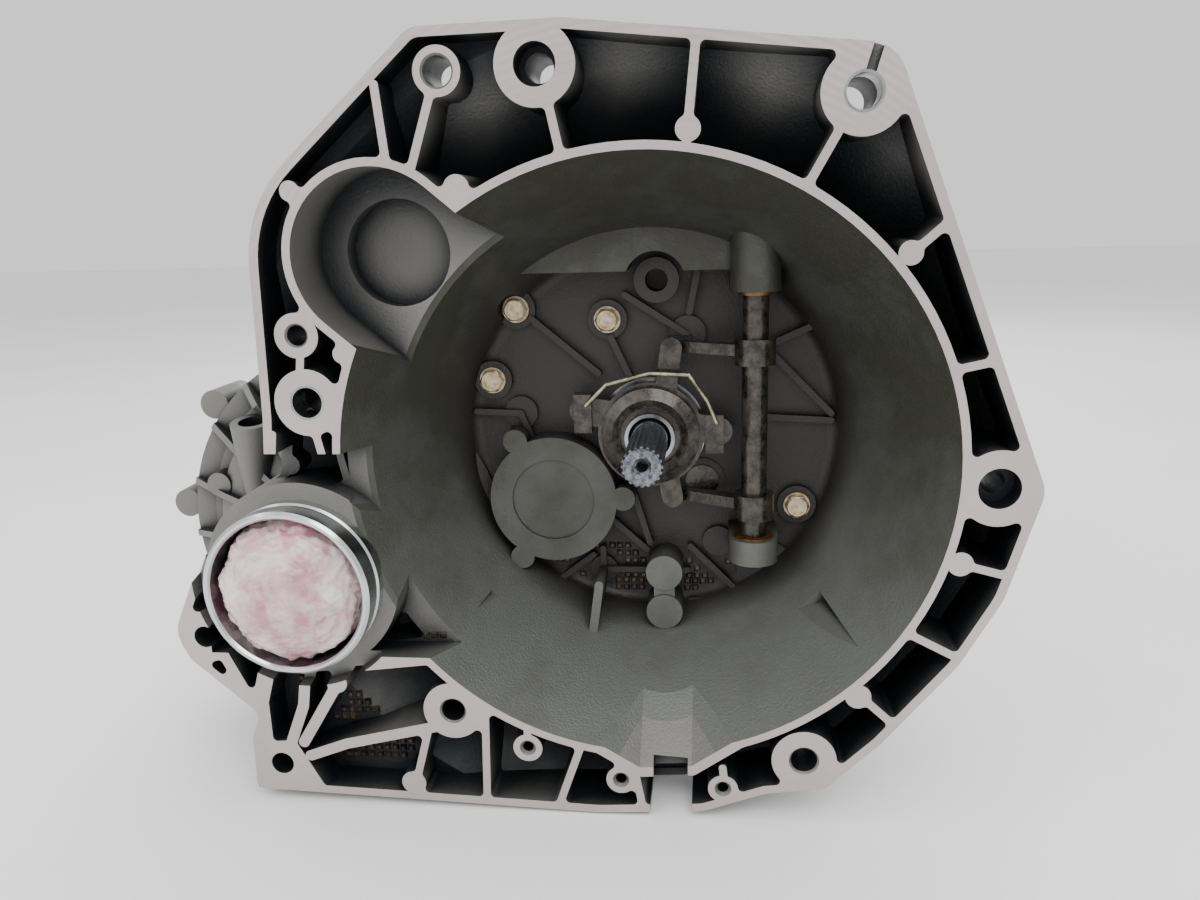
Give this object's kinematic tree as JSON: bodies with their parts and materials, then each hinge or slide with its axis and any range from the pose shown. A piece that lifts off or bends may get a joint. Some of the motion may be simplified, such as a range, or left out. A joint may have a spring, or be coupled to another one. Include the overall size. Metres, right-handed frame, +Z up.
{
  "type": "manual transmission",
  "caption": "Transverse manual transmission with clutch bell housing, differential, synchronised gears, shift forks and clutch release mechanism.",
  "frame": {"origin": "input shaft axis at the engine-side mating face", "axes": "+Y into the gearbox away from the engine, +Z up, +X to the right seen from the engine"},
  "size_m": [0.4937, 0.3958, 0.3934],
  "materials": {
    "cast_aluminium": "sand and die cast, machined faces bright",
    "machined_steel": "turned and ground",
    "polished_steel": "turned bright",
    "oiled_steel": "dark with oil film",
    "plated_steel": "zinc plated",
    "bearing_steel": "ground and polished",
    "brass": "machined",
    "bronze": "sintered",
    "cast_iron": "as cast",
    "spring_wire": "drawn wire",
    "seal_rubber": "moulded nitrile",
    "moulded_nylon": "moulded",
    "wrap_film": "crumpled film"
  },
  "bodies": {
    "casing": {"bell_housing": "cast_aluminium", "gear_case": "cast_aluminium", "end_cover": "cast_aluminium", "case_bolts": "plated_steel", "floor_bolts": "plated_steel", "dowel_sleeves": "machined_steel", "guide_tube": "machined_steel", "guide_screws": "plated_steel", "oil_seals": "seal_rubber", "diff_collar": "polished_steel", "transit_plug": "wrap_film", "oil_plugs": "plated_steel", "reverse_switch": "moulded_nylon", "shift_housing": "cast_aluminium", "housing_screws": "plated_steel", "slotted_plug": "oiled_steel", "bearing_outer_races": "bearing_steel", "idler_shaft": "machined_steel", "release_bushes": "bronze"},
    "input": {"input_shaft": "machined_steel", "drive_gear_5": "machined_steel", "input_inner_races": "bearing_steel"},
    "input_balls": {"input_ball_sets": "bearing_steel"},
    "gear_1": {"driven_gear_1": "machined_steel"},
    "gear_2": {"driven_gear_2": "machined_steel"},
    "gear_3": {"driven_gear_3": "machined_steel"},
    "gear_4": {"driven_gear_4": "machined_steel"},
    "gear_5": {"driven_gear_5": "machined_steel"},
    "reverse": {"reverse_gear": "machined_steel"},
    "idler": {"reverse_idler": "machined_steel"},
    "final_drive": {"ring_gear": "machined_steel", "ring_gear_bolts": "plated_steel", "diff_case": "cast_iron", "cross_pin": "machined_steel", "diff_inner_races": "bearing_steel"},
    "diff_balls": {"diff_ball_sets": "bearing_steel"},
    "output": {"output_shaft": "machined_steel", "output_inner_races": "bearing_steel", "synchro_hubs": "machined_steel", "synchro_rings": "brass"},
    "output_balls": {"output_ball_sets": "bearing_steel"},
    "side_front": {"side_gear_front": "machined_steel"},
    "side_rear": {"side_gear_rear": "machined_steel"},
    "planet_right": {"planet_gear_right": "machined_steel"},
    "planet_left": {"planet_gear_left": "machined_steel"},
    "fork_1_2": {"shift_fork_1_2": "cast_iron"},
    "fork_3_4": {"shift_fork_3_4": "cast_iron"},
    "fork_5_r": {"shift_fork_5_r": "cast_iron"},
    "sleeve_1_2": {"sleeve_1_2": "machined_steel"},
    "sleeve_3_4": {"sleeve_3_4": "machined_steel"},
    "sleeve_5_r": {"sleeve_5_r": "machined_steel"},
    "shift": {"shift_shaft": "machined_steel", "shift_lever": "plated_steel", "select_collar": "plated_steel"},
    "release": {"release_shaft": "oiled_steel", "release_lever": "plated_steel"},
    "carrier": {"release_carrier": "oiled_steel", "release_clip": "spring_wire"},
    "release_race": {"release_race": "oiled_steel"},
    "plunger": {"switch_plunger": "machined_steel"}
  },
  "joints": [
    {"name": "input_spin", "type": "hinge", "parent": "casing", "child": "input", "pos_m": [0, 0, 0], "axis": [0, 1, 0], "continuous": true},
    {"name": "input_balls_spin", "type": "hinge", "parent": "casing", "child": "input_balls", "pos_m": [0, 0, 0], "axis": [0, 1, 0], "continuous": true},
    {"name": "gear_1_spin", "type": "hinge", "parent": "casing", "child": "gear_1", "pos_m": [-0.057, 0, -0.038], "axis": [0, 1, 0], "continuous": true},
    {"name": "gear_2_spin", "type": "hinge", "parent": "casing", "child": "gear_2", "pos_m": [-0.057, 0, -0.038], "axis": [0, 1, 0], "continuous": true},
    {"name": "gear_3_spin", "type": "hinge", "parent": "casing", "child": "gear_3", "pos_m": [-0.057, 0, -0.038], "axis": [0, 1, 0], "continuous": true},
    {"name": "gear_4_spin", "type": "hinge", "parent": "casing", "child": "gear_4", "pos_m": [-0.057, 0, -0.038], "axis": [0, 1, 0], "continuous": true},
    {"name": "gear_5_spin", "type": "hinge", "parent": "casing", "child": "gear_5", "pos_m": [-0.057, 0, -0.038], "axis": [0, 1, 0], "continuous": true},
    {"name": "reverse_spin", "type": "hinge", "parent": "casing", "child": "reverse", "pos_m": [-0.057, 0, -0.038], "axis": [0, 1, 0], "continuous": true},
    {"name": "idler_spin", "type": "hinge", "parent": "casing", "child": "idler", "pos_m": [0.01378, 0, -0.03968], "axis": [0, 1, 0], "continuous": true},
    {"name": "final_drive_spin", "type": "hinge", "parent": "casing", "child": "final_drive", "pos_m": [-0.18, 0, -0.06], "axis": [0, 1, 0], "continuous": true},
    {"name": "diff_balls_spin", "type": "hinge", "parent": "casing", "child": "diff_balls", "pos_m": [-0.18, 0, -0.06], "axis": [0, 1, 0], "continuous": true},
    {"name": "output_spin", "type": "hinge", "parent": "casing", "child": "output", "pos_m": [-0.057, 0, -0.038], "axis": [0, 1, 0], "continuous": true},
    {"name": "output_balls_spin", "type": "hinge", "parent": "casing", "child": "output_balls", "pos_m": [-0.057, 0, -0.038], "axis": [0, 1, 0], "continuous": true},
    {"name": "side_front_spin", "type": "hinge", "parent": "final_drive", "child": "side_front", "pos_m": [-0.18, 0, -0.06], "axis": [0, 1, 0], "continuous": true},
    {"name": "side_rear_spin", "type": "hinge", "parent": "final_drive", "child": "side_rear", "pos_m": [-0.18, 0, -0.06], "axis": [0, 1, 0], "continuous": true},
    {"name": "planet_right_spin", "type": "hinge", "parent": "final_drive", "child": "planet_right", "pos_m": [-0.18, 0.136, -0.06], "axis": [1, 0, 0], "continuous": true},
    {"name": "planet_left_spin", "type": "hinge", "parent": "final_drive", "child": "planet_left", "pos_m": [-0.18, 0.136, -0.06], "axis": [1, 0, 0], "continuous": true},
    {"name": "fork_1_2_slide", "type": "slide", "parent": "casing", "child": "fork_1_2", "axis": [0, -1, 0], "range_m": [-0.0065, 0.0065]},
    {"name": "sleeve_1_2_slide", "type": "slide", "parent": "output", "child": "sleeve_1_2", "axis": [0, -1, 0], "range_m": [-0.0065, 0.0065]},
    {"name": "fork_3_4_slide", "type": "slide", "parent": "casing", "child": "fork_3_4", "axis": [0, -1, 0], "range_m": [-0.0065, 0.0065]},
    {"name": "sleeve_3_4_slide", "type": "slide", "parent": "output", "child": "sleeve_3_4", "axis": [0, -1, 0], "range_m": [-0.0065, 0.0065]},
    {"name": "fork_5_r_slide", "type": "slide", "parent": "casing", "child": "fork_5_r", "axis": [0, -1, 0], "range_m": [-0.0065, 0.0065]},
    {"name": "sleeve_5_r_slide", "type": "slide", "parent": "output", "child": "sleeve_5_r", "axis": [0, -1, 0], "range_m": [-0.0065, 0.0065]},
    {"name": "shift_turn", "type": "hinge", "parent": "casing", "child": "shift", "pos_m": [0.046, 0.2, 0], "axis": [0, 0, 1], "range_deg": [-14.3, 14.3]},
    {"name": "release_turn", "type": "hinge", "parent": "casing", "child": "release", "pos_m": [0.0575, 0.07, 0], "axis": [0, 0, 1], "range_deg": [0, 11]},
    {"name": "release_slide", "type": "slide", "parent": "casing", "child": "carrier", "axis": [0, -1, 0], "range_m": [0, 0.0083]},
    {"name": "release_race_spin", "type": "hinge", "parent": "carrier", "child": "release_race", "pos_m": [0, 0, 0], "axis": [0, 1, 0], "continuous": true},
    {"name": "plunger_slide", "type": "slide", "parent": "casing", "child": "plunger", "axis": [0, 0, 1], "range_m": [0, 0.0025], "stiffness_N_per_m": 300, "springref_m": -0.003}
  ],
  "couplings": [
    {"joint": "input_balls_spin", "follows": "input_spin", "ratio": 0.3913},
    {"joint": "gear_1_spin", "follows": "input_spin", "ratio": -0.27273},
    {"joint": "gear_2_spin", "follows": "input_spin", "ratio": -0.47368},
    {"joint": "gear_3_spin", "follows": "input_spin", "ratio": -0.69697},
    {"joint": "gear_4_spin", "follows": "input_spin", "ratio": -0.93103},
    {"joint": "gear_5_spin", "follows": "input_spin", "ratio": -1.24},
    {"joint": "reverse_spin", "follows": "input_spin", "ratio": 0.35135},
    {"joint": "idler_spin", "follows": "input_spin", "ratio": -0.59091},
    {"joint": "diff_balls_spin", "follows": "final_drive_spin", "ratio": 0.3967},
    {"joint": "output_spin", "follows": "final_drive_spin", "ratio": -3.8},
    {"joint": "output_balls_spin", "follows": "final_drive_spin", "ratio": -1.4904},
    {"joint": "side_rear_spin", "follows": "side_front_spin", "ratio": -1},
    {"joint": "planet_right_spin", "follows": "side_front_spin", "ratio": 1.4545},
    {"joint": "planet_left_spin", "follows": "side_front_spin", "ratio": -1.4545},
    {"joint": "sleeve_1_2_slide", "follows": "fork_1_2_slide", "ratio": 1},
    {"joint": "sleeve_5_r_slide", "follows": "fork_5_r_slide", "ratio": 1},
    {"joint": "fork_3_4_slide", "follows": "shift_turn", "m_per_rad": 0.026},
    {"joint": "sleeve_3_4_slide", "follows": "shift_turn", "m_per_rad": 0.026},
    {"joint": "release_slide", "follows": "release_turn", "m_per_rad": 0.0428}
  ]
}
